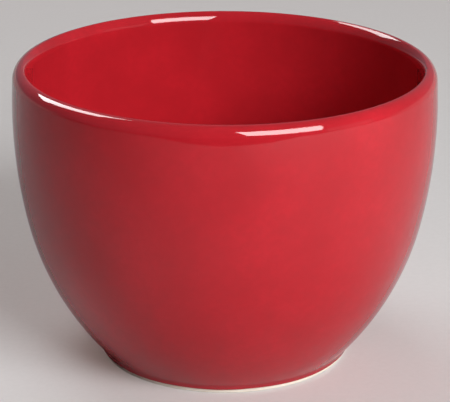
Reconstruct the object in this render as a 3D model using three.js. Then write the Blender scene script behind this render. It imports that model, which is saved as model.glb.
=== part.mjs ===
// A small round sugar bowl without a lid, in pale fired clay under a glossy red glaze.
//
// The bowl is a body of revolution about +Z and stands on the plane z = 0, with its axis through the origin.
// All sizes are in millimetres. It has three pieces: the clay, the glaze coat that covers the clay from just
// above the foot's edge, over the lip, to the middle of the inside, and the patch of glaze on the recessed
// underside. Each piece is turned from one profile, which gives the half section right of the axis.

import * as THREE from "three";

// Outside, measured over the glaze
const bowlHeight = 72.6;
const bowlDiameter = 102;
const widestDrop = 11.2; // from the top of the lip down to the widest place
const wallDrop = 26; // from the widest place down to where the wall runs into the belly
const wallLean = THREE.MathUtils.degToRad(12.2); // how far the wall leans out where it leaves the belly

// Inside, measured over the glaze
const wallThickness = 4;
const floorThickness = 5;
const floorCornerRadius = 22; // hollow round between the flat floor and the side

// Lip
const lipOuterDrop = 2.7; // height of the round on the lip's outer side
const lipInnerDrop = 3; // height of the round on the lip's inner side
const crownShare = 0.64; // how far across the wall the top of the lip lies, from the outside

// Foot
const footDiameter = 61.2;
const glazedFootHeight = 1.4; // from the glaze line up to where the foot's side would meet the belly
const tuckRadius = 2; // hollow round between the foot and the belly
const footRingWidth = 3.8; // width of the ring at its root, in bare clay
const footEdgeRadius = 0.6; // round on the two edges that the bowl stands on
const recessDepth = 3; // height of the glazed underside above the table
const recessCornerRadius = 1.5; // hollow round between the underside and the ring

// Glaze
const glazeThickness = 0.4;
const glazeLineHeight = 1; // the clay is bare below this line, outside and inside the ring

// Facets
const turnSteps = 48;
const lipSteps = 5;
const facetError = 0.07; // how far a facet may lie from the true arc

const glazeRed = 0xb0161f;
const clayCream = 0xd9cdbf;

const quarterTurn = Math.PI / 2;

// The control points of a quarter ellipse lie this share of its half sizes from its ends.
const quarterHandle = 0.5523;

// Points along a curve, each with the direction that its surface faces. A profile runs with the air on its
// right: outwards under the bowl, up the outside and down the inside.
function pointsAlong(curve, steps) {
  return curve.getPoints(steps).map((place, step) => {
    const heading = curve.getTangent(step / steps);
    return { place, facing: new THREE.Vector2(heading.y, -heading.x) };
  });
}

// A surface is several runs that meet end to end, so each later run leaves out its first point.
function joined(...runs) {
  return runs.flatMap((run, index) => (index === 0 ? run : run.slice(1)));
}

function straight(from, to) {
  return pointsAlong(new THREE.LineCurve(from, to), 1);
}

function roundArc(centre, radius, fromAngle, toAngle) {
  const clockwise = toAngle < fromAngle;
  const arc = new THREE.EllipseCurve(
    centre.x,
    centre.y,
    radius,
    radius,
    fromAngle,
    toAngle,
    clockwise,
  );
  const facetTurn = 2 * Math.acos(1 - facetError / radius);
  return pointsAlong(arc, Math.ceil(Math.abs(toAngle - fromAngle) / facetTurn));
}

function pointOn(centre, radius, angle) {
  return new THREE.Vector2(
    centre.x + radius * Math.cos(angle),
    centre.y + radius * Math.sin(angle),
  );
}

// The direction from one point to another, between a half turn clockwise and a half turn back
function angleTo(from, to) {
  return Math.atan2(to.y - from.y, to.x - from.x);
}

// The control points of a smooth quarter turn from a nearly upright side to the level crown
function quarterRound(sideEnd, sideAngle, crown) {
  const upHandle = quarterHandle * (crown.y - sideEnd.y);
  const acrossHandle = quarterHandle * (sideEnd.x - crown.x);
  return [
    sideEnd,
    pointOn(sideEnd, upHandle, sideAngle + quarterTurn),
    new THREE.Vector2(crown.x + acrossHandle, crown.y),
    crown,
  ];
}

// The side is two arcs that run into each other. The wall's arc is upright at the widest place. The belly's
// arc leaves it at the wall's lean and passes through the corner where the foot's side would meet the belly.
function sideArcs() {
  const wallRadius = wallDrop / Math.sin(wallLean);
  const wallCentre = new THREE.Vector2(bowlDiameter / 2 - wallRadius, bowlHeight - widestDrop);
  const join = pointOn(wallCentre, wallRadius, -wallLean);
  const footCorner = new THREE.Vector2(footDiameter / 2, glazeLineHeight + glazedFootHeight);
  const toCorner = footCorner.clone().sub(join);
  const inwards = pointOn(new THREE.Vector2(), 1, Math.PI - wallLean);
  const bellyRadius = toCorner.lengthSq() / (2 * toCorner.dot(inwards));
  const bellyCentre = join.clone().addScaledVector(inwards, bellyRadius);
  return { wallCentre, wallRadius, bellyCentre, bellyRadius, footCorner };
}

// The hollow round between the foot's side and the belly touches both, and starts above the glaze line.
function tuck({ bellyCentre, bellyRadius, footCorner }) {
  const acrossToCorner = footCorner.x - bellyCentre.x;
  const slack = 2 * (bellyRadius - acrossToCorner);
  const upToLine = bellyCentre.y - glazeLineHeight;
  const upToCorner = bellyCentre.y - footCorner.y;
  const room = (upToLine ** 2 - upToCorner ** 2) / slack;
  const radius = Math.min(tuckRadius, room);
  const centre = new THREE.Vector2(
    footCorner.x + radius,
    bellyCentre.y - Math.sqrt(upToCorner ** 2 + slack * radius),
  );
  return { centre, radius, bellyAngle: angleTo(bellyCentre, centre) };
}

// The hollow round between the flat floor and the inner side of the belly touches both.
function floorCorner({ bellyCentre, bellyRadius }, floorHeight) {
  const reach = bellyRadius - wallThickness - floorCornerRadius;
  const centreHeight = floorHeight + floorCornerRadius;
  const across = Math.sqrt(reach ** 2 - (bellyCentre.y - centreHeight) ** 2);
  const centre = new THREE.Vector2(bellyCentre.x + across, centreHeight);
  return { centre, bellyAngle: angleTo(bellyCentre, centre) };
}

// The glaze coat's free surface, from the glaze line up the outside, over the lip and down to the axis
function coatSurface() {
  const side = sideArcs();
  const { wallCentre, wallRadius, bellyCentre, bellyRadius } = side;
  const tuckRound = tuck(side);
  const innerWallRadius = wallRadius - wallThickness;
  const floorHeight = recessDepth + floorThickness;
  const corner = floorCorner(side, floorHeight);

  const outerLipAngle = Math.asin((widestDrop - lipOuterDrop) / wallRadius);
  const innerLipAngle = Math.asin((widestDrop - lipInnerDrop) / innerWallRadius);
  const outerLip = pointOn(wallCentre, wallRadius, outerLipAngle);
  const innerLip = pointOn(wallCentre, innerWallRadius, innerLipAngle);
  const crown = new THREE.Vector2(
    THREE.MathUtils.lerp(outerLip.x, innerLip.x, crownShare),
    bowlHeight,
  );
  const upToCrown = quarterRound(outerLip, outerLipAngle, crown);
  const downFromCrown = quarterRound(innerLip, innerLipAngle, crown).reverse();

  return joined(
    straight(
      new THREE.Vector2(footDiameter / 2, glazeLineHeight),
      new THREE.Vector2(footDiameter / 2, tuckRound.centre.y),
    ),
    roundArc(tuckRound.centre, tuckRound.radius, Math.PI, Math.PI + tuckRound.bellyAngle),
    roundArc(bellyCentre, bellyRadius, tuckRound.bellyAngle, -wallLean),
    roundArc(wallCentre, wallRadius, -wallLean, 0),
    roundArc(wallCentre, wallRadius, 0, outerLipAngle),
    pointsAlong(new THREE.CubicBezierCurve(...upToCrown), lipSteps),
    pointsAlong(new THREE.CubicBezierCurve(...downFromCrown), lipSteps),
    roundArc(wallCentre, innerWallRadius, innerLipAngle, 0),
    roundArc(wallCentre, innerWallRadius, 0, -wallLean),
    roundArc(bellyCentre, bellyRadius - wallThickness, -wallLean, corner.bellyAngle),
    roundArc(corner.centre, floorCornerRadius, corner.bellyAngle, -quarterTurn),
    straight(new THREE.Vector2(corner.centre.x, floorHeight), new THREE.Vector2(0, floorHeight)),
  );
}

// The patch's free surface, from the axis out under the bowl and down inside the foot ring
function patchSurface() {
  const sideRadius = footDiameter / 2 - glazeThickness - footRingWidth - glazeThickness;
  const cornerRadius = Math.min(recessCornerRadius, recessDepth - glazeLineHeight);
  const cornerCentre = new THREE.Vector2(sideRadius - cornerRadius, recessDepth - cornerRadius);
  return joined(
    straight(new THREE.Vector2(0, recessDepth), new THREE.Vector2(cornerCentre.x, recessDepth)),
    roundArc(cornerCentre, cornerRadius, quarterTurn, 0),
    straight(
      new THREE.Vector2(sideRadius, cornerCentre.y),
      new THREE.Vector2(sideRadius, glazeLineHeight),
    ),
  );
}

// The bare clay between the glaze lines: down the ring's inner side, across the ring and up its outer side
function bareRing() {
  const outerRadius = footDiameter / 2 - glazeThickness;
  const innerRadius = outerRadius - footRingWidth;
  const edgeRadius = Math.min(footEdgeRadius, glazeLineHeight);
  const innerEdge = new THREE.Vector2(innerRadius + edgeRadius, edgeRadius);
  const outerEdge = new THREE.Vector2(outerRadius - edgeRadius, edgeRadius);
  return joined(
    roundArc(innerEdge, edgeRadius, Math.PI, 3 * quarterTurn),
    straight(new THREE.Vector2(innerEdge.x, 0), new THREE.Vector2(outerEdge.x, 0)),
    roundArc(outerEdge, edgeRadius, -quarterTurn, 0),
  );
}

function places(surface) {
  return surface.map(({ place }) => place);
}

// The clay's surface, one glaze thickness under the glaze's
function underGlaze(surface) {
  return surface.map(({ place, facing }) => place.clone().addScaledVector(facing, -glazeThickness));
}

// Turns a profile about +Z. The lathe turns about +Y, so the result is tipped upright.
function turned(name, profile, material) {
  const geometry = new THREE.LatheGeometry(profile, turnSteps).rotateX(quarterTurn);
  const mesh = new THREE.Mesh(geometry, material);
  mesh.name = name;
  return mesh;
}

const bareClay = new THREE.MeshStandardMaterial({
  color: clayCream,
  roughness: 0.85,
  metalness: 0,
});
const redGlaze = new THREE.MeshStandardMaterial({
  color: glazeRed,
  roughness: 0.08,
  metalness: 0,
});

const coat = coatSurface();
const patch = patchSurface();

const sugarBowl = new THREE.Group();
sugarBowl.name = "sugar_bowl";
sugarBowl.add(
  turned(
    "clay_body",
    [...underGlaze(patch), ...places(bareRing()), ...underGlaze(coat)],
    bareClay,
  ),
  turned("glaze_coat", [...underGlaze(coat).reverse(), ...places(coat)], redGlaze),
  turned(
    "base_glaze",
    [...places(patch), ...underGlaze(patch).reverse()],
    redGlaze.clone(),
  ),
);

export default sugarBowl;
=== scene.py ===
# %% [markdown]
# # A red glazed sugar bowl without its lid
#
# This lesson dresses a small ceramic bowl for its picture. The real bowl is one piece of pale fired clay
# under a thick, glassy red glaze. The glaze runs over the lip and all over the inside, and stops in a line
# just above the table, where a narrow ring of bare clay carries the bowl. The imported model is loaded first
# as a fixed frame. It gives the true sizes, and everything that is made here stays inside its box.

import math

import bpy
import numpy as np
from mathutils import Matrix, Vector


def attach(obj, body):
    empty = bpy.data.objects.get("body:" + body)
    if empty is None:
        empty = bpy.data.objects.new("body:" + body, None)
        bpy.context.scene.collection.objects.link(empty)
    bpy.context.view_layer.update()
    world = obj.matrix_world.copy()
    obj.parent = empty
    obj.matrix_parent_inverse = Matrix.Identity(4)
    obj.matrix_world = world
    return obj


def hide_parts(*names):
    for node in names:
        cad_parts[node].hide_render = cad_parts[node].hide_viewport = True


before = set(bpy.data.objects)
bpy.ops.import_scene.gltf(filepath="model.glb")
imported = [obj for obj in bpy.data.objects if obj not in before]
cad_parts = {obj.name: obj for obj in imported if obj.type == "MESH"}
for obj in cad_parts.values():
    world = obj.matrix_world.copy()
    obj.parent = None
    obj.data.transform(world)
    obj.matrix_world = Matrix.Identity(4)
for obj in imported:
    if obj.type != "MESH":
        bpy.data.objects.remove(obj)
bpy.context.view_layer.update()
MM = 0.001


print("nodes:", sorted(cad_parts))

# %% [markdown]
# ## The sizes of the bowl
#
# A potter who turns a bowl on a wheel thinks of its half section: the shape that a knife would show if it
# cut the bowl through its axis. The sizes below describe that half section, over the glaze. They could be
# read off the solid model instead, but the solid has facets, and a mirror shows each of them. So the sizes
# are written out, and most are the solid's own. A few are finer, because they show in the picture and
# hardly change the form. The top of the lip turns quickly and then runs slowly down into the inner wall,
# which places the long thin highlights. The foot is half a millimetre wider, a little lower and leans out.
# The ring's edges are sharper, and the middle of the inside is dished.

# %% Name the sizes
BOWL_HEIGHT = 72.6 * MM
BOWL_DIAMETER = 102 * MM
WIDEST_DROP = 11.2 * MM  # from the top of the lip down to the widest place
WALL_DROP = 26 * MM  # from the widest place down to where the wall runs into the belly
WALL_LEAN = math.radians(12.2)  # how far the wall leans out where it leaves the belly
WALL_THICKNESS = 4 * MM
FLOOR_THICKNESS = 5 * MM
FLOOR_CORNER_RADIUS = 22 * MM  # hollow round between the floor and the side
FLOOR_DISH = 0.4 * MM  # how much lower the middle of the floor is
DISH_LEAN = math.radians(35)  # how steep the hollow round is where the dish begins
DISH_HANDLE = 0.4  # how far the dish's level middle reaches, as a share of its radius

LIP_OUTER_DROP = 2.7 * MM
LIP_INNER_DROP = 3.0 * MM
CROWN_SHARE = 0.636  # how far across the wall the top of the lip lies, from the outside
OUTER_SIDE_HANDLE = 0.48
OUTER_CROWN_HANDLE = 0.61
INNER_CROWN_HANDLE = 0.22
INNER_SIDE_HANDLE = 0.54

FOOT_DIAMETER = 61.7 * MM
GLAZED_FOOT_HEIGHT = 1.0 * MM  # from the glaze line up to where the foot's side would meet the belly
FOOT_LEAN = math.radians(20)
TUCK_RADIUS = 2.8 * MM  # hollow round between the foot and the belly
FOOT_RING_WIDTH = 3.6 * MM
FOOT_EDGE_RADIUS = 0.3 * MM
RECESS_DEPTH = 3 * MM
RECESS_CORNER_RADIUS = 1.5 * MM

GLAZE_THICKNESS = 0.4 * MM
GLAZE_LINE_HEIGHT = 1.0 * MM
GLAZE_EDGE_ROUND = 0.3 * MM

QUARTER_TURN = math.pi / 2
print(f"bowl {BOWL_DIAMETER / MM:.0f} mm across and {BOWL_HEIGHT / MM:.1f} mm high")
print(f"foot {FOOT_DIAMETER / MM:.1f} mm across")

# %% [markdown]
# ## Lines and rounds of a section
#
# A section is drawn in two numbers, the distance from the axis and the height. It could be drawn by hand as
# a Bezier curve, but then a changed size would mean drawing it again, so short runs are computed here and
# set end to end. Each run gives its points and, for each point, the direction that the surface faces. A
# section is followed with the air on its right hand: outwards under the bowl, up the outside and down the
# inside.

# %% Draw runs of a section
def facing_of(headings):
    facing = np.column_stack([headings[:, 1], -headings[:, 0]])
    return facing / np.linalg.norm(facing, axis=1)[:, None]


def straight(start, end, steps):
    share = np.linspace(0, 1, steps + 1)[:, None]
    points = (1 - share) * np.array(start) + share * np.array(end)
    return points, facing_of(np.tile(np.subtract(end, start), (steps + 1, 1)))


def round_arc(centre, radius, start_angle, end_angle, spacing):
    steps = max(2, math.ceil(abs(end_angle - start_angle) * radius / spacing))
    angles = np.linspace(start_angle, end_angle, steps + 1)
    outwards = np.column_stack([np.cos(angles), np.sin(angles)])
    return np.array(centre) + radius * outwards, outwards * math.copysign(1, end_angle - start_angle)


def bent(corners, steps):
    a, b, c, d = (np.array(corner) for corner in corners)
    t = np.linspace(0, 1, steps + 1)[:, None]
    points = (1 - t) ** 3 * a + 3 * t * (1 - t) ** 2 * b + 3 * t**2 * (1 - t) * c + t**3 * d
    headings = (1 - t) ** 2 * (b - a) + 2 * t * (1 - t) * (c - b) + t**2 * (d - c)
    return points, facing_of(headings)


arc_points = len(round_arc((0, 0), TUCK_RADIUS, 0, QUARTER_TURN, 0.2 * MM)[0])
print("a quarter of the foot's hollow round is drawn with", arc_points, "points")


# %% Join and shift runs
def joined(*runs):
    """Each later run starts where the one before ended, so its first point is left out."""
    points = np.vstack([run[0][min(i, 1):] for i, run in enumerate(runs)])
    facing = np.vstack([run[1][min(i, 1):] for i, run in enumerate(runs)])
    return points, facing


def under_glaze(surface):
    """The clay's surface, one glaze thickness below a glazed one."""
    points, facing = surface
    return points - GLAZE_THICKNESS * facing, facing


def on_circle(centre, radius, angle):
    return np.array([centre[0] + radius * math.cos(angle), centre[1] + radius * math.sin(angle)])


def angle_between(start, end):
    across, up = np.subtract(end, start)
    return math.atan2(up, across)


# %% [markdown]
# ## The side, the foot and the inside
#
# The side of the bowl is two arcs that run into each other: a nearly upright wall and a rounder belly that
# ends at the foot. The wall is equally thick all the way up, so the inside is the same two arcs moved in.
# Where belly and foot meet there is a small hollow round, because glaze fills such a corner. A sharp corner
# would be easier to draw, but it would show as a hard dark line. Inside, a large hollow round leads into a
# floor that is a little dished, as the potter's fingers leave it.

# %% Work out the arcs of the side
wall_radius = WALL_DROP / math.sin(WALL_LEAN)
wall_centre = np.array([BOWL_DIAMETER / 2 - wall_radius, BOWL_HEIGHT - WIDEST_DROP])
wall_end = on_circle(wall_centre, wall_radius, -WALL_LEAN)
foot_corner = np.array([FOOT_DIAMETER / 2, GLAZE_LINE_HEIGHT + GLAZED_FOOT_HEIGHT])
to_corner = foot_corner - wall_end
inwards = on_circle((0, 0), 1, math.pi - WALL_LEAN)
belly_radius = to_corner @ to_corner / (2 * to_corner @ inwards)
belly_centre = wall_end + belly_radius * inwards
print(f"wall radius {wall_radius / MM:.1f} mm, belly radius {belly_radius / MM:.1f} mm")

# %% Work out the foot's side and the hollow round above it
foot_side = np.array([math.sin(FOOT_LEAN), math.cos(FOOT_LEAN)])
foot_facing = np.array([math.cos(FOOT_LEAN), -math.sin(FOOT_LEAN)])
foot_tuck_in = GLAZED_FOOT_HEIGHT / 2 * math.tan(FOOT_LEAN)
foot_start = np.array([FOOT_DIAMETER / 2 - foot_tuck_in, GLAZE_LINE_HEIGHT])

# The round's centre lies one radius off the foot's side and one radius off the belly.
from_belly = foot_start + TUCK_RADIUS * foot_facing - belly_centre
back_off = from_belly @ foot_side
slack = from_belly @ from_belly - (belly_radius + TUCK_RADIUS) ** 2
side_length = -back_off - math.sqrt(back_off**2 - slack)
foot_end = foot_start + side_length * foot_side
tuck_centre = foot_end + TUCK_RADIUS * foot_facing
tuck_angle = angle_between(belly_centre, tuck_centre)
print(f"the foot's side is {side_length / MM:.2f} mm long up to its hollow round")

# %% Work out the floor
floor_height = RECESS_DEPTH + FLOOR_THICKNESS
reach = belly_radius - WALL_THICKNESS - FLOOR_CORNER_RADIUS
corner_height = floor_height + FLOOR_CORNER_RADIUS
corner_across = math.sqrt(reach**2 - (belly_centre[1] - corner_height) ** 2)
corner_centre = np.array([belly_centre[0] + corner_across, corner_height])
corner_angle = angle_between(belly_centre, corner_centre)
dish_start = on_circle(corner_centre, FLOOR_CORNER_RADIUS, DISH_LEAN - QUARTER_TURN)
dish_middle = np.array([0.0, floor_height - FLOOR_DISH])
dish_slope = (dish_start[1] - dish_middle[1]) / math.sin(DISH_LEAN)
dish_corners = [
    dish_start,
    dish_start - dish_slope * np.array([math.cos(DISH_LEAN), math.sin(DISH_LEAN)]),
    dish_middle + [DISH_HANDLE * dish_start[0], 0],
    dish_middle,
]
print(f"the dish starts {dish_start[0] / MM:.1f} mm from the axis")


# %% [markdown]
# ## The lip and the glaze coat's free surface
#
# The glaze rounds the lip, and that round decides where its highlights lie and how wide they are. A half
# circle would be simpler, but its highlights come out too wide and too far in. So the lip is two Bezier
# curves that meet at the top, and four handles say how quickly each side turns over. The whole free surface
# then runs from the glaze line up the outside, over the lip and down to the middle of the inside. The
# glaze's back, which lies on the clay, is the same surface with fewer points, because nobody sees it.

# %% Draw the lip
def lip_rounds(steps):
    inner_radius = wall_radius - WALL_THICKNESS
    outer_angle = math.asin((WIDEST_DROP - LIP_OUTER_DROP) / wall_radius)
    inner_angle = math.asin((WIDEST_DROP - LIP_INNER_DROP) / inner_radius)
    outer = on_circle(wall_centre, wall_radius, outer_angle)
    inner = on_circle(wall_centre, inner_radius, inner_angle)
    crown = np.array([outer[0] + CROWN_SHARE * (inner[0] - outer[0]), BOWL_HEIGHT])
    up_outer = on_circle((0, 0), OUTER_SIDE_HANDLE * LIP_OUTER_DROP, outer_angle + QUARTER_TURN)
    up_inner = on_circle((0, 0), INNER_SIDE_HANDLE * LIP_INNER_DROP, inner_angle + QUARTER_TURN)
    over_outer = np.array([OUTER_CROWN_HANDLE * (outer[0] - crown[0]), 0])
    over_inner = np.array([INNER_CROWN_HANDLE * (inner[0] - crown[0]), 0])
    rising = bent([outer, outer + up_outer, crown + over_outer, crown], steps)
    falling = bent([crown, crown + over_inner, inner + up_inner, inner], steps)
    return outer_angle, inner_angle, joined(rising, falling)


# %% Draw the glaze coat's two sides
FREE_SPACING = 1.4 * MM
BACK_SPACING = 3.5 * MM
SMALL_ROUND_SPACING = 0.2 * MM


def coat_surface(spacing, lip_steps):
    outer_angle, inner_angle, lip = lip_rounds(lip_steps)
    tuck_turn = math.pi - FOOT_LEAN, math.pi + tuck_angle
    corner_turn = corner_angle, DISH_LEAN - QUARTER_TURN
    inner_wall = wall_radius - WALL_THICKNESS
    inner_belly = belly_radius - WALL_THICKNESS
    return joined(
        straight(foot_start, foot_end, steps=3),
        round_arc(tuck_centre, TUCK_RADIUS, *tuck_turn, SMALL_ROUND_SPACING),
        round_arc(belly_centre, belly_radius, tuck_angle, -WALL_LEAN, spacing),
        round_arc(wall_centre, wall_radius, -WALL_LEAN, 0, spacing),
        round_arc(wall_centre, wall_radius, 0, outer_angle, spacing),
        lip,
        round_arc(wall_centre, inner_wall, inner_angle, -WALL_LEAN, spacing),
        round_arc(belly_centre, inner_belly, -WALL_LEAN, corner_angle, spacing),
        round_arc(corner_centre, FLOOR_CORNER_RADIUS, *corner_turn, spacing),
        bent(dish_corners, steps=16),
    )


coat = coat_surface(FREE_SPACING, lip_steps=22)
coat_back = under_glaze(coat_surface(BACK_SPACING, lip_steps=8))
print("points on the glaze coat's free side:", len(coat[0]), "and on the clay:", len(coat_back[0]))

# %% [markdown]
# ## The foot ring and the underside
#
# The bowl stands on a narrow ring. Glaze would stick to the kiln shelf, so it is wiped off the ring before
# firing, and the bare clay shows there. Inside the ring the underside is set back and glazed again. None of
# this shows in the picture apart from the ring's outer edge, so its shape follows common bowls of this
# kind. A flat underside would be quicker to draw, but a bowl with one rocks, and it would look wrong from
# below.

# %% Draw the bare ring and the patch under the bowl
EDGE_SPACING = 0.1 * MM

ring_outer = foot_start[0] - GLAZE_THICKNESS / math.cos(FOOT_LEAN)
ring_inner = ring_outer - FOOT_RING_WIDTH


def patch_surface(spacing):
    side_radius = ring_inner - GLAZE_THICKNESS
    corner = (side_radius - RECESS_CORNER_RADIUS, RECESS_DEPTH - RECESS_CORNER_RADIUS)
    return joined(
        straight((0, RECESS_DEPTH), (corner[0], RECESS_DEPTH), steps=12),
        round_arc(corner, RECESS_CORNER_RADIUS, QUARTER_TURN, 0, spacing),
        straight((side_radius, corner[1]), (side_radius, GLAZE_LINE_HEIGHT), steps=2),
    )


def bare_ring(spacing):
    edge = FOOT_EDGE_RADIUS
    inner = ring_inner + edge
    outer = ring_outer - edge
    return joined(
        straight((ring_inner, GLAZE_LINE_HEIGHT), (ring_inner, edge), steps=3),
        round_arc((inner, edge), edge, math.pi, 3 * QUARTER_TURN, spacing),
        straight((inner, 0), (outer, 0), steps=10),
        round_arc((outer, edge), edge, -QUARTER_TURN, 0, spacing),
        straight((ring_outer, edge), (ring_outer, GLAZE_LINE_HEIGHT), steps=3),
    )


patch = patch_surface(SMALL_ROUND_SPACING)
patch_back = under_glaze(patch)
ring = bare_ring(EDGE_SPACING)
print(f"bare ring from {ring_inner / MM:.2f} to {ring_outer / MM:.2f} mm from the axis")

# %% [markdown]
# ## One tree that turns a section into a piece
#
# All three pieces are turned shapes, so one Geometry Nodes tree makes them, as one wheel would. Blender's
# Spin and Screw tools could turn a section too, but the tree can do two more things on the way that a kiln
# does to glaze. It makes the free surface swell and sink a little, and it lets the glaze line wander up and
# down the foot. The section comes in as a row of points, each with the direction it faces (`facing`), how
# freely the glaze can move there (`free`) and how near the glaze line is (`line`). The tree lays out a grid
# with one column for each step round the bowl, moves each grid point to its place, and closes the seam and
# the poles.

# %% Helpers for node trees
def link(tree, source, target):
    tree.links.new(source, target)


def give(tree, value, socket):
    """Links another node's output to a socket, or writes a plain value on it."""
    if isinstance(value, bpy.types.NodeSocket):
        link(tree, value, socket)
    else:
        socket.default_value = value


def maths(tree, operation, *values):
    node = tree.nodes.new("ShaderNodeMath")
    node.operation = operation
    for socket, value in zip(node.inputs, values):
        give(tree, value, socket)
    return node.outputs[0]


def split(tree, vector):
    node = tree.nodes.new("ShaderNodeSeparateXYZ")
    link(tree, vector, node.inputs[0])
    return node.outputs


def together(tree, *parts):
    node = tree.nodes.new("ShaderNodeCombineXYZ")
    for socket, part in zip(node.inputs, parts):
        link(tree, part, socket)
    return node.outputs[0]


# %% Start a tree with named inputs
TREE_INPUTS = (
    ("Section", "NodeSocketGeometry", None),
    ("Section Points", "NodeSocketInt", 10),
    ("Steps Round", "NodeSocketInt", 48),
    ("Swell Height", "NodeSocketFloat", 0.0),
    ("Swell Width", "NodeSocketFloat", 0.01),
    ("Line Wander", "NodeSocketFloat", 0.0),
    ("Line Bends Per Turn", "NodeSocketFloat", 2.0),
    ("Seed", "NodeSocketFloat", 1.0),
    ("Finish", "NodeSocketMaterial", None),
)


def tree_with_inputs(tree_name):
    tree = bpy.data.node_groups.new(tree_name, "GeometryNodeTree")
    for name, kind, value in TREE_INPUTS:
        socket = tree.interface.new_socket(name, in_out="INPUT", socket_type=kind)
        if value is not None:
            socket.default_value = value
    tree.interface.new_socket("Piece", in_out="OUTPUT", socket_type="NodeSocketGeometry")
    return tree


# %% Helpers that read the section in the tree
def named(tree, kind, name):
    attribute = tree.nodes.new("GeometryNodeInputNamedAttribute")
    attribute.data_type = kind
    attribute.inputs["Name"].default_value = name
    return next(s for s in attribute.outputs if s.enabled and s.name == "Attribute")


def at_index(tree, geometry, index, kind, source):
    """What another geometry holds at that index."""
    sample = tree.nodes.new("GeometryNodeSampleIndex")
    sample.data_type = kind
    link(tree, geometry, sample.inputs["Geometry"])
    link(tree, source, next(s for s in sample.inputs if s.name == "Value" and s.enabled))
    link(tree, index, sample.inputs["Index"])
    return next(s for s in sample.outputs if s.enabled)


def seeded_noise(tree, place, scale, seed):
    node = tree.nodes.new("ShaderNodeTexNoise")
    node.noise_dimensions = "4D"
    link(tree, place, node.inputs["Vector"])
    link(tree, scale, node.inputs["Scale"])
    link(tree, seed, node.inputs["W"])
    node.inputs["Detail"].default_value = 1.0
    return node.outputs[0]


# %% Build the turning tree
CLOSING_DISTANCE = 2e-6


def turning_tree():
    tree = tree_with_inputs("turn_a_section")
    new = tree.nodes.new
    given = new("NodeGroupInput").outputs
    count = given["Section Points"]

    def calc(operation, *values):
        return maths(tree, operation, *values)

    grid = new("GeometryNodeMeshGrid")
    link(tree, calc("ADD", given["Steps Round"], 1), grid.inputs["Vertices X"])
    link(tree, count, grid.inputs["Vertices Y"])
    index = new("GeometryNodeInputIndex").outputs[0]
    # Half a point more keeps the rounding down from slipping to the column before.
    column = calc("FLOOR", calc("DIVIDE", calc("ADD", index, 0.5), count))
    along = calc("SUBTRACT", index, calc("MULTIPLY", column, count))
    angle = calc("MULTIPLY", calc("DIVIDE", column, given["Steps Round"]), 2 * math.pi)
    cosine, sine = calc("COSINE", angle), calc("SINE", angle)

    def of_section(kind, source):
        return at_index(tree, given["Section"], along, kind, source)

    def turned(radius, height):
        return together(tree, calc("MULTIPLY", radius, cosine), calc("MULTIPLY", radius, sine), height)

    at = split(tree, of_section("FLOAT_VECTOR", new("GeometryNodeInputPosition").outputs[0]))
    facing = split(tree, of_section("FLOAT_VECTOR", named(tree, "FLOAT_VECTOR", "facing")))
    free = of_section("FLOAT", named(tree, "FLOAT", "free"))
    line = of_section("FLOAT", named(tree, "FLOAT", "line"))

    swell_scale = calc("DIVIDE", 1.0, given["Swell Width"])
    swell = seeded_noise(tree, turned(at[0], at[2]), swell_scale, given["Seed"])
    inward = calc("MULTIPLY", given["Swell Height"], -1.0)
    sink = calc("MULTIPLY", calc("MULTIPLY", swell, free), inward)
    around = together(tree, cosine, sine, given["Seed"])
    bends = seeded_noise(tree, around, given["Line Bends Per Turn"], given["Seed"])
    most = calc("MULTIPLY", line, given["Line Wander"])
    wander = calc("MULTIPLY", calc("SUBTRACT", bends, 0.5), most)
    radius = calc("MULTIPLY_ADD", facing[0], sink, at[0])
    height = calc("ADD", calc("MULTIPLY_ADD", facing[2], sink, at[2]), wander)

    place = new("GeometryNodeSetPosition")
    link(tree, grid.outputs["Mesh"], place.inputs["Geometry"])
    link(tree, turned(radius, height), place.inputs["Position"])
    close = new("GeometryNodeMergeByDistance")
    close.inputs["Distance"].default_value = CLOSING_DISTANCE
    smooth = new("GeometryNodeSetShadeSmooth")
    real = new("GeometryNodeRealizeInstances")
    finish = new("GeometryNodeSetMaterial")
    link(tree, given["Finish"], finish.inputs["Material"])
    chain = [place, close, smooth, real, finish, new("NodeGroupOutput")]
    for earlier, later in zip(chain, chain[1:]):
        link(tree, earlier.outputs[0], later.inputs[0])
    return tree


turning = turning_tree()
print("the tree's inputs:", [item.name for item in turning.interface.items_tree if item.in_out == "INPUT"])

# %% [markdown]
# ## From section to piece
#
# The section's points become a small mesh without faces, which carries the three attributes. The tree's
# inputs are set by their identifiers, the result is kept as a plain mesh, and the modifier goes. The
# modifier could stay, but a plain mesh is what is measured, so it is made here once. The signed volume
# tells whether the faces point outwards: it is positive when they do.

# %% Measure a closed mesh
def signed_volume(mesh):
    mesh.calc_loop_triangles()
    places = np.empty(3 * len(mesh.vertices), np.float32)
    mesh.vertices.foreach_get("co", places)
    indices = np.empty(3 * len(mesh.loop_triangles), np.int32)
    mesh.loop_triangles.foreach_get("vertices", indices)
    a, b, c = places.reshape(-1, 3)[indices.reshape(-1, 3)].astype(float).transpose(1, 0, 2)
    return float(np.einsum("ij,ij->i", a, np.cross(b, c)).sum() / 6)


# %% Turn a piece
TURN_STEPS = 240
ML = 1e-6


def section_mesh(name, points, facing, free, line):
    mesh = bpy.data.meshes.new(name)
    places = [(r, 0.0, z) for r, z in points]
    mesh.from_pydata(places, [(i, i + 1) for i in range(len(places) - 1)], [])
    directions = np.column_stack([facing[:, 0], np.zeros(len(facing)), facing[:, 1]])
    new = mesh.attributes.new
    new("facing", "FLOAT_VECTOR", "POINT").data.foreach_set("vector", directions.ravel())
    new("free", "FLOAT", "POINT").data.foreach_set("value", free)
    new("line", "FLOAT", "POINT").data.foreach_set("value", line)
    return mesh


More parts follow.
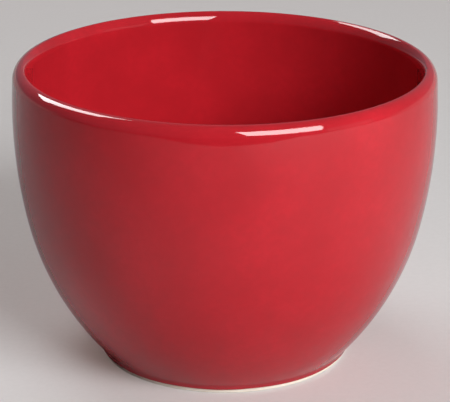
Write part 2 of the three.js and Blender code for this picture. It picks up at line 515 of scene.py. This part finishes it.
def turned_piece(name, finish, points, facing, free, line, settings):
    piece = bpy.data.objects.new(name, section_mesh(name, points, facing, free, line))
    bpy.context.scene.collection.objects.link(piece)
    wheel = piece.modifiers.new("wheel", "NODES")
    wheel.node_group = turning
    values = {"Section Points": len(points), "Steps Round": TURN_STEPS, "Finish": finish, **settings}
    for item in turning.interface.items_tree:
        if item.name in values:
            wheel[item.identifier] = values[item.name]
    bpy.context.view_layer.update()
    evaluated = piece.evaluated_get(bpy.context.evaluated_depsgraph_get())
    turned = bpy.data.meshes.new_from_object(evaluated)
    piece.modifiers.clear()
    piece.data = turned
    turned.name = name
    if signed_volume(turned) < 0:
        turned.flip_normals()
    print(f"{name}: {len(turned.polygons)} faces, {signed_volume(turned) / ML:.2f} ml")
    return piece


# %% [markdown]
# ## Steps that every finish uses
#
# A finish is a small tree of nodes that the shader reads. A picture could be painted for each finish
# instead, but it would blur up close and have a seam somewhere. Noise is computed where the surface is, so
# its patches can be given in real millimetres. The same few steps come back in each finish: a colour as a
# screen shows it, noise of a certain size, a change of range, a blend, a bump and small dots.

# %% Helpers for colours
def linear(red, green, blue):
    """A colour as it shows on a screen, 0 to 255, in the linear values that a shader takes."""
    shares = [part / 255 for part in (red, green, blue)]
    return (*[s / 12.92 if s <= 0.04045 else ((s + 0.055) / 1.055) ** 2.4 for s in shares], 1)


def blended(tree, share, first, second):
    node = tree.nodes.new("ShaderNodeMix")
    node.data_type = "RGBA"
    give(tree, share, node.inputs["Factor"])
    sockets = [s for s in node.inputs if s.name in ("A", "B") and s.type == "RGBA"]
    for socket, colour in zip(sockets, (first, second)):
        give(tree, colour, socket)
    return next(s for s in node.outputs if s.type == "RGBA")


def mixed(tree, share, below, above):
    """One shader over another."""
    node = tree.nodes.new("ShaderNodeMixShader")
    for source, socket in zip((share, below, above), node.inputs):
        link(tree, source, socket)
    return node.outputs[0]


print("a screen's middle grey in a shader's values:", [round(part, 3) for part in linear(128, 128, 128)[:3]])


# %% Helpers for patterns
NOISE_SPREAD = 0.3, 0.7  # nearly all of a noise lies between these


def new_finish(name):
    finish = bpy.data.materials.new(name)
    finish.use_nodes = True
    nodes = finish.node_tree.nodes
    return finish, nodes, nodes["Principled BSDF"]


def between(tree, value, low, high, new_low=0.0, new_high=1.0):
    node = tree.nodes.new("ShaderNodeMapRange")
    link(tree, value, node.inputs["Value"])
    names = ("From Min", "From Max", "To Min", "To Max")
    for name, number in zip(names, (low, high, new_low, new_high)):
        node.inputs[name].default_value = number
    return node.outputs[0]


def noise_over(tree, place, size, detail=2.0, roughness=0.5):
    """Noise whose patches are about that many metres across."""
    node = tree.nodes.new("ShaderNodeTexNoise")
    link(tree, place, node.inputs["Vector"])
    node.inputs["Scale"].default_value = 1 / size
    node.inputs["Detail"].default_value = detail
    node.inputs["Roughness"].default_value = roughness
    return node.outputs[0]


def patches(tree, place, size, detail, roughness=0.5, new_low=0.0, new_high=1.0):
    """The same noise, spread out so that it fills its range."""
    noise = noise_over(tree, place, size, detail, roughness)
    return between(tree, noise, *NOISE_SPREAD, new_low, new_high)


# %% Helpers for bumps and dots
DOT_CORE = 0.6  # the share of a dot's radius inside which it is full


def raised(tree, height, distance, strength, below=None):
    """Turns a height of 0 to 1 into a bump that many metres high."""
    node = tree.nodes.new("ShaderNodeBump")
    node.inputs["Distance"].default_value = distance
    node.inputs["Strength"].default_value = strength
    link(tree, height, node.inputs["Height"])
    if below is not None:
        link(tree, below, node.inputs["Normal"])
    return node.outputs[0]


def dots(tree, place, spacing, radius, share):
    """1 in small round dots, of which only that share of the cells has one, and 0 elsewhere."""
    cells = tree.nodes.new("ShaderNodeTexVoronoi")
    cells.inputs["Scale"].default_value = 1 / spacing
    link(tree, place, cells.inputs["Vector"])
    size = radius / spacing
    near = between(tree, cells.outputs["Distance"], DOT_CORE * size, size, 1, 0)
    lot = tree.nodes.new("ShaderNodeSeparateColor")
    link(tree, cells.outputs["Color"], lot.inputs[0])
    chosen = maths(tree, "LESS_THAN", lot.outputs[0], share)
    return maths(tree, "MULTIPLY", near, chosen)


# %% [markdown]
# ## The red glaze
#
# The glaze is an opaque, saturated red under its own glassy surface. One smooth gloss with a normal
# refraction index gives that: it mirrors little where it is seen straight on and much at its edges, which
# is where the bowl turns pale. A second clear layer would mirror twice, so there is none. A few small
# things keep it from looking like plastic. The colour drifts between two close reds over a centimetre or
# two, where the glaze lies thicker or thinner, with a finer grain in it. At the foot, where the glaze ran
# down and gathered, it is duller and darker, and that darker red is also painted shade near the table.
# The surface has long low waves and a very fine orange peel, and here and there a darker pinhole. And the
# gloss itself varies a little.

# %% Mix the red glaze
THIN_RED = linear(179, 31, 40)
THICK_RED = linear(196, 34, 45)
GRAIN_RED = linear(178, 31, 40)
# duller, darker red at the foot: gathered glaze, and painted shade near the table
GATHERED_AND_SHADED_RED = linear(164, 44, 52)
PINHOLE_RED = linear(112, 24, 32)
GATHERED_AND_SHADED_HEIGHTS = 1.9 * MM, 3.4 * MM
GLOSS_RANGE = 0.02, 0.045
GLASS_INDEX = 1.5
PEEL_HEIGHT = 0.001 * MM
WAVE_HEIGHT = 0.008 * MM
PINHOLE_DEPTH = 0.03 * MM


def glaze_colour(tree, place, pinholes):
    drift = patches(tree, place, 16 * MM, detail=3, roughness=0.6)
    grain = patches(tree, place, 1.6 * MM, detail=3)
    # Near the foot the red turns duller and darker: gathered glaze, and painted shade near the table
    gathered_and_shaded = between(tree, split(tree, place)[2], *GATHERED_AND_SHADED_HEIGHTS, 0.75, 0.0)
    colour = blended(tree, drift, THIN_RED, THICK_RED)
    colour = blended(tree, maths(tree, "MULTIPLY", grain, 0.5), colour, GRAIN_RED)
    colour = blended(tree, gathered_and_shaded, colour, GATHERED_AND_SHADED_RED)
    return blended(tree, maths(tree, "MULTIPLY", pinholes, 0.5), colour, PINHOLE_RED)


def red_glaze():
    finish, nodes, shader = new_finish("red_glaze")
    tree = finish.node_tree
    place = nodes.new("ShaderNodeTexCoord").outputs["Object"]
    pinholes = dots(tree, place, spacing=5 * MM, radius=0.13 * MM, share=0.06)
    link(tree, glaze_colour(tree, place, pinholes), shader.inputs["Base Color"])
    gloss = patches(tree, place, 9 * MM, 2, 0.5, *GLOSS_RANGE)
    link(tree, gloss, shader.inputs["Roughness"])
    shader.inputs["IOR"].default_value = GLASS_INDEX
    peel = raised(tree, noise_over(tree, place, 1.1 * MM, 1), PEEL_HEIGHT, 1.0)
    wave = raised(tree, noise_over(tree, place, 7 * MM, 1), WAVE_HEIGHT, 1.0, peel)
    pits = raised(tree, maths(tree, "SUBTRACT", 1.0, pinholes), PINHOLE_DEPTH, 0.6, wave)
    link(tree, pits, shader.inputs["Normal"])
    return finish


glaze_finish = red_glaze()
print("red glaze made,", len(glaze_finish.node_tree.nodes), "nodes")

# %% [markdown]
# ## The bare clay
#
# Fired clay without glaze is matt and slightly rough, like fine chalk. One cream colour would do from afar,
# but a ring of one flat colour looks like a rubber band. So the cream has a coarser and a finer grain and a
# few tiny darker specks. The edge that stands on tables has rubbed a little greyer, so the colour also
# follows the height above the table.

# %% Mix the bare clay
LIGHT_CREAM = linear(243, 234, 221)
DARK_CREAM = linear(234, 223, 208)
GRAIN_CREAM = linear(222, 208, 190)
SPECK_BROWN = linear(128, 104, 84)
RUBBED_GREY = linear(190, 178, 164)
RUBBED_HEIGHT = 0.25 * MM
CLAY_ROUGHNESS = 0.78, 0.92
CLAY_GRAIN_HEIGHT = 0.03 * MM


def bare_clay():
    finish, nodes, shader = new_finish("bare_clay")
    tree = finish.node_tree
    place = nodes.new("ShaderNodeTexCoord").outputs["Object"]
    coarse = patches(tree, place, 3.5 * MM, detail=3)
    fine = patches(tree, place, 0.35 * MM, detail=4, roughness=0.7)
    specks = dots(tree, place, spacing=1.3 * MM, radius=0.09 * MM, share=0.25)
    rubbed = between(tree, split(tree, place)[2], 0.0, RUBBED_HEIGHT, 0.3, 0.0)
    colour = blended(tree, coarse, LIGHT_CREAM, DARK_CREAM)
    colour = blended(tree, maths(tree, "MULTIPLY", fine, 0.35), colour, GRAIN_CREAM)
    colour = blended(tree, maths(tree, "MULTIPLY", specks, 0.7), colour, SPECK_BROWN)
    colour = blended(tree, rubbed, colour, RUBBED_GREY)
    link(tree, colour, shader.inputs["Base Color"])
    link(tree, between(tree, fine, 0, 1, *CLAY_ROUGHNESS), shader.inputs["Roughness"])
    link(tree, raised(tree, fine, CLAY_GRAIN_HEIGHT, 0.7), shader.inputs["Normal"])
    return finish


clay_finish = bare_clay()
print("bare clay made,", len(clay_finish.node_tree.nodes), "nodes")

# %% [markdown]
# ## The clay
#
# The clay is the bowl itself, and the glaze hides all of it but the ring. It could be left out above the
# ring, but then the glaze would be an empty shell, so it is made whole. Its section is closed from axis to
# axis: under the bowl, across the ring, and up and over behind the glaze. Only the ring is a little uneven,
# because the rest touches the glaze.

# %% Turn the clay
CLAY_SETTINGS = {"Swell Height": 0.03 * MM, "Swell Width": 2.5 * MM, "Seed": 3.0}


def closed(*parts):
    """Joins (points, facing) parts whose ends meet or lie next to each other."""
    return np.vstack([part[0] for part in parts]), np.vstack([part[1] for part in parts])


# The ring's two end points are also the ends of the surfaces beside it, so the ring leaves them out.
ring_middle = ring[0][1:-1], ring[1][1:-1]
clay_points, clay_facing = closed(patch_back, ring_middle, coat_back)
on_ring = np.zeros(len(clay_points))
on_ring[len(patch_back[0]) :][: len(ring_middle[0])] = 1
off_line = np.zeros(len(clay_points))
clay_piece = turned_piece(
    "clay_bowl", clay_finish, clay_points, clay_facing, on_ring, off_line, CLAY_SETTINGS
)


# %% [markdown]
# ## The glaze coat and the patch
#
# Each glaze piece is a shell that comes out along the clay, turns round its own soft edge at the glaze
# line, and goes back along the free side. Molten glaze draws itself round there, so a square edge would
# look cut. Only the free side may swell, and only inwards, so that the bowl never grows past its true size.
# Near the line the whole shell shifts up and down a fraction of a millimetre. Solidify could thicken a
# single surface into such a shell, but it would give the edge no round.

# %% Round the glaze's edge
EDGE_TOP = GLAZE_LINE_HEIGHT + GLAZE_EDGE_ROUND


def radius_at_edge(surface):
    """How far from the axis a glazed surface is where its soft edge begins."""
    low = surface[0][surface[0][:, 1] < 2 * EDGE_TOP]
    order = np.argsort(low[:, 1])
    return np.interp(EDGE_TOP, low[order, 1], low[order, 0])


def soft_edge(clay_radius, glaze_radius, steps=6):
    """The glaze's own rounded edge at the glaze line, from the clay out to the free surface."""
    turn = np.linspace(0, QUARTER_TURN, steps + 1)
    width = glaze_radius - clay_radius
    out = np.column_stack([np.sin(turn), -np.cos(turn)])
    points = np.array([clay_radius, EDGE_TOP]) + out * [width, GLAZE_EDGE_ROUND]
    return points, out * [math.copysign(1, width), 1]


def above_edge(surface):
    keep = surface[0][:, 1] > EDGE_TOP + 1e-6
    return surface[0][keep], surface[1][keep]


def near_line(points, reach):
    """1 at the glaze line, falling to 0 that far above it."""
    share = np.clip((points[:, 1] - EDGE_TOP) / reach, 0, 1)
    return (1 - share) ** 2 * (1 + 2 * share)


print(f"the glaze's edge turns over {GLAZE_EDGE_ROUND / MM:.1f} mm")

# %% Turn the glaze coat and the patch
STILL_REACH = 1.2 * MM  # so far above the line, the free surface keeps still
WANDER_REACH = 0.5 * MM  # so far above the line, the glaze follows it
GLAZE_SETTINGS = {
    "Swell Height": 0.03 * MM,
    "Swell Width": 11 * MM,
    "Line Wander": 0.35 * MM,
    "Line Bends Per Turn": 2.2,
}


def backwards(surface):
    """The same surface seen from its other side and followed the other way."""
    return surface[0][::-1], -surface[1][::-1]


def glaze_shell(name, front, ring_radius, seed):
    """A coat between the clay and the air, closed by a soft edge at the ring."""
    back = above_edge(under_glaze(front))
    front = above_edge(front)
    edge = soft_edge(ring_radius, radius_at_edge(front))
    free = np.ones(len(front[0]))
    held = np.zeros(len(back[0]) + len(edge[0]))
    starts_at_line = front[0][0, 1] < front[0][-1, 1]
    if starts_at_line:
        points, facing = closed(backwards(back), edge, front)
        free = np.concatenate([held, free])
    else:
        points, facing = closed(front, (edge[0][::-1], edge[1][::-1]), backwards(back))
        free = np.concatenate([free, held])
    free = free * (1 - near_line(points, STILL_REACH))
    line = near_line(points, WANDER_REACH)
    settings = {**GLAZE_SETTINGS, "Seed": seed}
    return turned_piece(name, glaze_finish, points, facing, free, line, settings)


coat_piece = glaze_shell("glaze_coat_red", coat, ring_outer, seed=1.0)
patch_piece = glaze_shell("base_glaze_red", patch, ring_inner, seed=2.0)

# %% [markdown]
# ## Each piece's place in the frame
#
# The bowl has no moving parts, so all three pieces ride the one body. Each stands for one node of the solid
# model, which it hides, and carries that node's finish. The pieces could be joined into one mesh, but the
# clay and the glaze are separate materials, and someone may want the bowl in another glaze.

# %% Give each piece its place in the frame
for piece, node, slot in (
    (clay_piece, "clay_body", "bare_clay"),
    (coat_piece, "glaze_coat", "red_glaze"),
    (patch_piece, "base_glaze", "red_glaze"),
):
    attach(piece, "root")
    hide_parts(node)
    print(piece.name, "stands for", node)

# %% [markdown]
# ## The table
#
# The bowl stands on a wide, pale, matt sheet. A real sheet would be bent up behind the bowl as a
# background. Here it stays flat and is very large, and where it lies far from the bowl it is seen in the
# backdrop's own colour, so that there is no dark band behind the bowl in a low view. The sheet itself is a
# cool pale grey. A faint warm glow over it, which lights nothing, stands for the haze that lifts the
# picture's shadows and makes them pinkish.
#
# The glaze mirrors the table too. A sheet that is mirrored as brightly as it looks would turn the lower
# half of the bowl pale. So where the glaze mirrors it, the sheet is painted darker towards the front, most
# of all on the left, and black past a front edge: painted shade, in the reflection only.

# %% Name the table's sizes and colours
TABLE_HALF = 6.0
BACKDROP = linear(190, 183, 183)
SHEET_COLOURS = linear(208, 211, 212), linear(205, 208, 209)
HAZE_COLOUR = (1, 0.76, 0.68, 1)
HAZE_STRENGTH = 0.13
BLACK = (0, 0, 0, 1)

BACKDROP_DISTANCES = 0.2, 0.7  # metres from the bowl, over which the sheet turns into the backdrop
BEHIND = 0.12, 0.3  # metres behind the bowl, over which the glaze comes to mirror that backdrop
DARKER_FRONT = -0.16, -0.02  # from the front up to the bowl, the mirrored sheet loses
FRONT_LOSSES = 0.45, 0.1  # these shares of its light
DARKER_LEFT = 0.02, 0.14  # and from left to right
SIDE_SHARES = 1.0, 0.4  # only these shares of that loss count
# Past this soft edge the mirrored sheet is painted black: painted shade in the reflection.
TABLE_EDGE = -0.39, -0.37  # the mirrored table's front edge, a little soft
print("the backdrop's colour in a shader's values:", [round(part, 2) for part in BACKDROP[:3]])


# %% Mix the pale sheet
def length_of(tree, vector):
    node = tree.nodes.new("ShaderNodeVectorMath")
    node.operation = "LENGTH"
    link(tree, vector, node.inputs[0])
    return node.outputs["Value"]


def glow(tree, colour, strength=1.0):
    node = tree.nodes.new("ShaderNodeEmission")
    give(tree, colour, node.inputs["Color"])
    give(tree, strength, node.inputs["Strength"])
    return node.outputs[0]


def added(tree, first, second):
    node = tree.nodes.new("ShaderNodeAddShader")
    for source, socket in zip((first, second), node.inputs):
        link(tree, source, socket)
    return node.outputs[0]


def mirrored_loss(tree, across, depth):
    """How much of its light the sheet loses where the glaze mirrors it: painted shade in the reflection."""
    front = between(tree, depth, *DARKER_FRONT, *FRONT_LOSSES)
    front = maths(tree, "MULTIPLY", front, between(tree, across, *DARKER_LEFT, *SIDE_SHARES))
    return maths(tree, "MAXIMUM", front, between(tree, depth, *TABLE_EDGE, 1.0, 0.0))


def pale_sheet():
    finish, nodes, shader = new_finish("pale_sheet")
    tree = finish.node_tree
    place = nodes.new("ShaderNodeTexCoord").outputs["Object"]
    across, depth, _ = split(tree, place)
    fibres = patches(tree, place, 1.5 * MM, detail=3)
    link(tree, blended(tree, fibres, *SHEET_COLOURS), shader.inputs["Base Color"])
    shader.inputs["Roughness"].default_value = 0.9
    shader.inputs["Specular IOR Level"].default_value = 0.2

    rays = nodes.new("ShaderNodeLightPath").outputs
    behind = maths(tree, "MULTIPLY", between(tree, depth, *BEHIND), rays["Is Glossy Ray"])
    direct = maths(tree, "MAXIMUM", rays["Is Camera Ray"], rays["Is Transmission Ray"])
    backdrop_rays = maths(tree, "MAXIMUM", direct, behind)
    distance = between(tree, length_of(tree, place), *BACKDROP_DISTANCES)
    far = maths(tree, "MULTIPLY", distance, backdrop_rays)
    haze = maths(tree, "MULTIPLY", backdrop_rays, HAZE_STRENGTH)
    # Painted shade: the sheet is darkened only where the glaze mirrors it.
    unlit = maths(tree, "MULTIPLY", mirrored_loss(tree, across, depth), rays["Is Glossy Ray"])

    seen = added(tree, shader.outputs[0], glow(tree, HAZE_COLOUR, haze))
    seen = mixed(tree, far, seen, glow(tree, BACKDROP))
    seen = mixed(tree, unlit, seen, glow(tree, BLACK))
    link(tree, seen, nodes["Material Output"].inputs[0])
    return finish


# %% Lay the table
table_corners = [(x * TABLE_HALF, y * TABLE_HALF, 0) for x, y in ((-1, -1), (1, -1), (1, 1), (-1, 1))]
table_mesh = bpy.data.meshes.new("table")
table_mesh.from_pydata(table_corners, [], [(0, 1, 2, 3)])
table_mesh.materials.append(pale_sheet())
table = bpy.data.objects.new("table", table_mesh)
bpy.context.scene.collection.objects.link(table)
print(f"table {2 * TABLE_HALF:.0f} m wide")

# %% [markdown]
# ## The light
#
# A glossy bowl needs two kinds of light. Some of it makes the shading: a key light in front on the right, a
# weak one from above and behind, and two dim cards, one low behind and one at the right. The rest is only
# seen as a mirror image. Two bright boxes make the four sharp highlights on the lip, and for those the
# place and size matter more than the strength, and a very dim one gives the right side its sheen. They
# could be the same lamps, but then highlights as bright as the real ones would come with more than twice
# the light on the bowl, and its red would no longer show as it is. So each lamp is told which rays may see
# it.

# %% Set up the lamps
LIP_CENTRE = Vector((0, 0, 0.07))
LAMPS = (
    # name, job, radiance, azimuth, elevation, distance, width, height, roll, yaw
    ("key_light", "shading", 12.9, 35.5, 27.0, 0.90, 0.54, 0.39, 0, 0),
    ("back_light", "shading", 3.1, -150, 60, 1.00, 0.60, 0.60, 0, 0),
    ("rear_card", "shading", 2.0, -165, 8, 1.50, 0.80, 0.30, 0, 0),
    ("right_card", "shading", 2.2, 68, 8, 0.60, 0.38, 0.22, 0, 0),
    ("right_mirror", "mirror", 0.3, 66, 8, 0.60, 0.30, 0.22, 0, 0),
    ("key_mirror", "mirror", 13.4, 29.8, 31.9, 0.280, 0.188, 0.152, -4.1, -4.2),
    ("back_mirror", "mirror", 10.8, -129.4, 43.3, 0.417, 0.184, 0.210, -9.1, 1.3),
)


def aimed_at_lip(azimuth, elevation, distance, roll, yaw):
    """Azimuth 0 is in front and 90 on the right. Roll and yaw turn the lamp where it stands, in degrees."""
    around, up, roll, yaw = (math.radians(angle) for angle in (azimuth, elevation, roll, yaw))
    away = Vector((math.sin(around) * math.cos(up), -math.cos(around) * math.cos(up), math.sin(up)))
    beam = -away
    side = beam.cross(Vector((0, 0, 1))).normalized()
    turned_beam = beam * math.cos(yaw) + side * math.sin(yaw)
    turned_side = side * math.cos(yaw) - beam * math.sin(yaw)
    upward = turned_side.cross(turned_beam)
    across = turned_side * math.cos(roll) + upward * math.sin(roll)
    along = upward * math.cos(roll) - turned_side * math.sin(roll)
    turn = Matrix((across, along, -turned_beam)).transposed().to_4x4()
    return Matrix.Translation(LIP_CENTRE + away * distance) @ turn


def soft_box(name, job, radiance, azimuth, elevation, distance, width, height, roll, yaw):
    """A lamp of that radiance, where 1 looks white, that only shades or is only mirrored."""
    lamp = bpy.data.lights.new(name, "AREA")
    lamp.shape = "RECTANGLE"
    lamp.size, lamp.size_y = width, height
    lamp.energy = radiance * math.pi * width * height
    box = bpy.data.objects.new(name, lamp)
    box.matrix_world = aimed_at_lip(azimuth, elevation, distance, roll, yaw)
    box.visible_camera = False
    box.visible_glossy = job == "mirror"
    box.visible_diffuse = job == "shading"
    bpy.context.scene.collection.objects.link(box)
    print(f"{name}: {lamp.energy:.2f} W from {azimuth:.0f} degrees round and {elevation:.0f} up, {job}")


for lamp_row in LAMPS:
    soft_box(*lamp_row)

# %% [markdown]
# ## The room
#
# The glaze also mirrors the room. A ready studio picture could be mirrored instead, but five plain walls
# are enough and can be set one by one. In front it is dark, which keeps the red deep, and the wall behind
# is paler, which the bowl mirrors along its edges. Low behind, the mirrored room is the pale backdrop, as
# far up as a sheet would be bent. The camera sees that backdrop on all sides. The room lights the bowl only
# a little, because the lamps do that.

# %% Name the room's walls
ROOM_FILL = (0.02, 0.02, 0.02, 1)
WALLS = {
    "front": ((0, -1, 0), (0.04, 0.04, 0.05)),
    "back": ((0, 1, 0), (0.26, 0.26, 0.30)),
    "left": ((-1, 0, 0), (0.16, 0.16, 0.19)),
    "right": ((1, 0, 0), (0.17, 0.17, 0.19)),
    "ceiling": ((0, 0, 1), (0.12, 0.12, 0.13)),
}
SHEET_TOP = math.sin(math.radians(1)), math.sin(math.radians(5))  # the bent sheet's soft upper edge
SHEET_SIDES = 0.0, 0.3  # and its soft ends at the sides


def wall_colours(tree, heading):
    """Each wall is brightest along its own direction. The squares of a direction's parts add up to one."""
    total = None
    for direction, colour in WALLS.values():
        toward = tree.nodes.new("ShaderNodeVectorMath")
        toward.operation = "DOT_PRODUCT"
        link(tree, heading, toward.inputs[0])
        toward.inputs[1].default_value = direction
        share = maths(tree, "POWER", maths(tree, "MAXIMUM", toward.outputs["Value"], 0.0), 2.0)
        add = tree.nodes.new("ShaderNodeVectorMath")
        add.operation = "MULTIPLY_ADD"
        add.inputs[0].default_value = colour
        link(tree, share, add.inputs[1])
        if total is not None:
            link(tree, total, add.inputs[2])
        total = add.outputs[0]
    return total


# %% Build the room
def background(tree, colour):
    node = tree.nodes.new("ShaderNodeBackground")
    give(tree, colour, node.inputs["Color"])
    return node.outputs[0]


def room_shader(tree):
    heading = tree.nodes.new("ShaderNodeTexCoord").outputs["Generated"]
    rays = tree.nodes.new("ShaderNodeLightPath").outputs
    _, depth, height = split(tree, heading)
    low = between(tree, height, *SHEET_TOP, 1, 0)
    low_behind = maths(tree, "MULTIPLY", low, between(tree, depth, *SHEET_SIDES))
    backdrop = background(tree, BACKDROP)
    mirrored = mixed(tree, low_behind, background(tree, wall_colours(tree, heading)), backdrop)
    unseen = mixed(tree, rays["Is Glossy Ray"], background(tree, ROOM_FILL), mirrored)
    direct = maths(tree, "MAXIMUM", rays["Is Camera Ray"], rays["Is Transmission Ray"])
    return mixed(tree, direct, unseen, backdrop)


room = bpy.data.worlds.new("room")
room.use_nodes = True
room.node_tree.nodes.clear()
room_output = room.node_tree.nodes.new("ShaderNodeOutputWorld")
link(room.node_tree, room_shader(room.node_tree), room_output.inputs[0])
bpy.context.scene.world = room
print("room made of", len(WALLS), "walls")

# %% [markdown]
# ## The camera
#
# A long lens looks down at the bowl from the front. A camera could be moved by eye until the picture looks
# right, but a bowl seen from nearer and with a shorter lens looks almost the same and is not. So the
# distance, the height and the focal length were found by fitting the bowl's outline, its lip and its foot.
# The shift only sets the bowl where the picture has it, which is a few pixels from the middle.

# %% Place the camera
PICTURE_WIDTH = 450
PICTURE_MIDDLE = 225, 201
SIGHT_LINE = 224.636, 210.595  # where the camera's target lies in the picture
FOCAL_LENGTH = 2081  # in the picture's pixels
SENSOR_WIDTH = 36
CAMERA_TARGET = Vector((0, 0, 0.035))
CAMERA_DISTANCE = 0.510
CAMERA_ELEVATION = math.radians(20.268)
CAMERA_ROLL = math.radians(0.109)

lens = bpy.data.cameras.new("camera")
lens.sensor_width = SENSOR_WIDTH
lens.lens = FOCAL_LENGTH / PICTURE_WIDTH * SENSOR_WIDTH
lens.shift_x = (PICTURE_MIDDLE[0] - SIGHT_LINE[0]) / PICTURE_WIDTH
lens.shift_y = (SIGHT_LINE[1] - PICTURE_MIDDLE[1]) / PICTURE_WIDTH
lens.clip_start, lens.clip_end = 0.01, 20

back = Vector((0, -math.cos(CAMERA_ELEVATION), math.sin(CAMERA_ELEVATION)))
aim = (-back).to_track_quat("-Z", "Y").to_matrix().to_4x4()
tilt = Matrix.Rotation(CAMERA_ROLL, 4, "Z")
camera = bpy.data.objects.new("camera", lens)
camera.matrix_world = Matrix.Translation(CAMERA_TARGET + CAMERA_DISTANCE * back) @ aim @ tilt
bpy.context.scene.collection.objects.link(camera)
bpy.context.scene.camera = camera
bpy.context.scene.view_settings.view_transform = "Standard"
print(f"lens {lens.lens:.1f} mm, {CAMERA_DISTANCE / MM:.0f} mm away")
